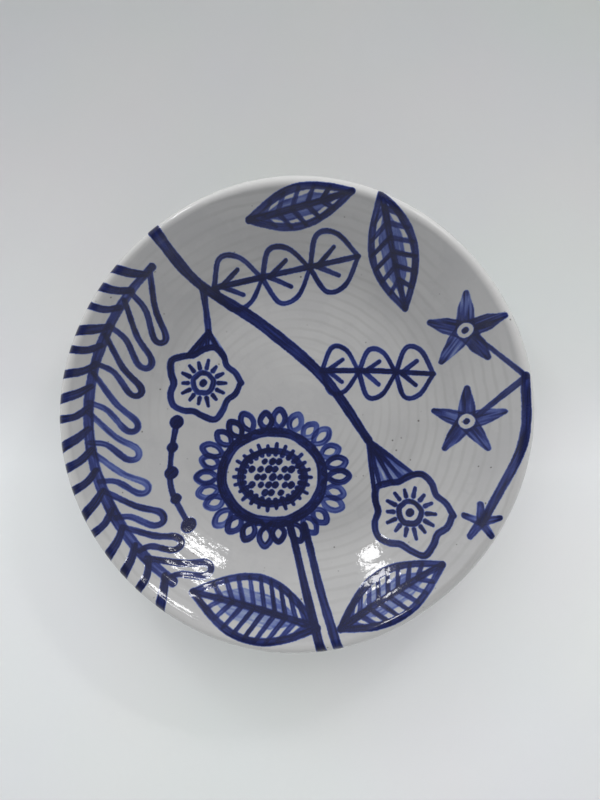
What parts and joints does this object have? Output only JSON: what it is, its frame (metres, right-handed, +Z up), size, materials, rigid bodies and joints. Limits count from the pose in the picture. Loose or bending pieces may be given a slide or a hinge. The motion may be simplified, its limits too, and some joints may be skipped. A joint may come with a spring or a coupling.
{
  "type": "ceramic plate",
  "caption": "Round shallow ceramic plate with a flat well, sloping wall, rounded lip and foot ring, white glazed, with blue brush-painted flowers, leaves and a fern.",
  "frame": {"origin": "centre of the face the foot ring rests on, lowest point of the plate", "axes": "+Z up along the plate's axis, out of its hollow; +Y towards the top of the painting, +X towards its right"},
  "size_m": [0.2502, 0.25, 0.0466],
  "materials": {
    "clay": "matt fired earthenware",
    "glaze": "glossy opaque white glaze",
    "cobalt": "glossy cobalt pigment fired into the glaze"
  },
  "bodies": {
    "root": {"clay_body": "clay", "foot_ring": "clay", "glaze_inside": "glaze", "glaze_outside": "glaze", "glaze_under_foot": "glaze", "fern_stem": "cobalt", "fern_fronds": "cobalt", "rim_dashes": "cobalt", "main_branch": "cobalt", "upper_sprig": "cobalt", "lower_sprig": "cobalt", "hanging_flower": "cobalt", "trumpet_flower": "cobalt", "sunflower_ring": "cobalt", "sunflower_seeds": "cobalt", "sunflower_petals": "cobalt", "sunflower_stem": "cobalt", "lower_left_leaf": "cobalt", "lower_right_leaf": "cobalt", "upper_left_leaf": "cobalt", "upper_right_leaf": "cobalt", "star_flowers": "cobalt", "star_vine": "cobalt", "knobbed_twig": "cobalt", "outside_touch": "cobalt"}
  },
  "joints": []
}
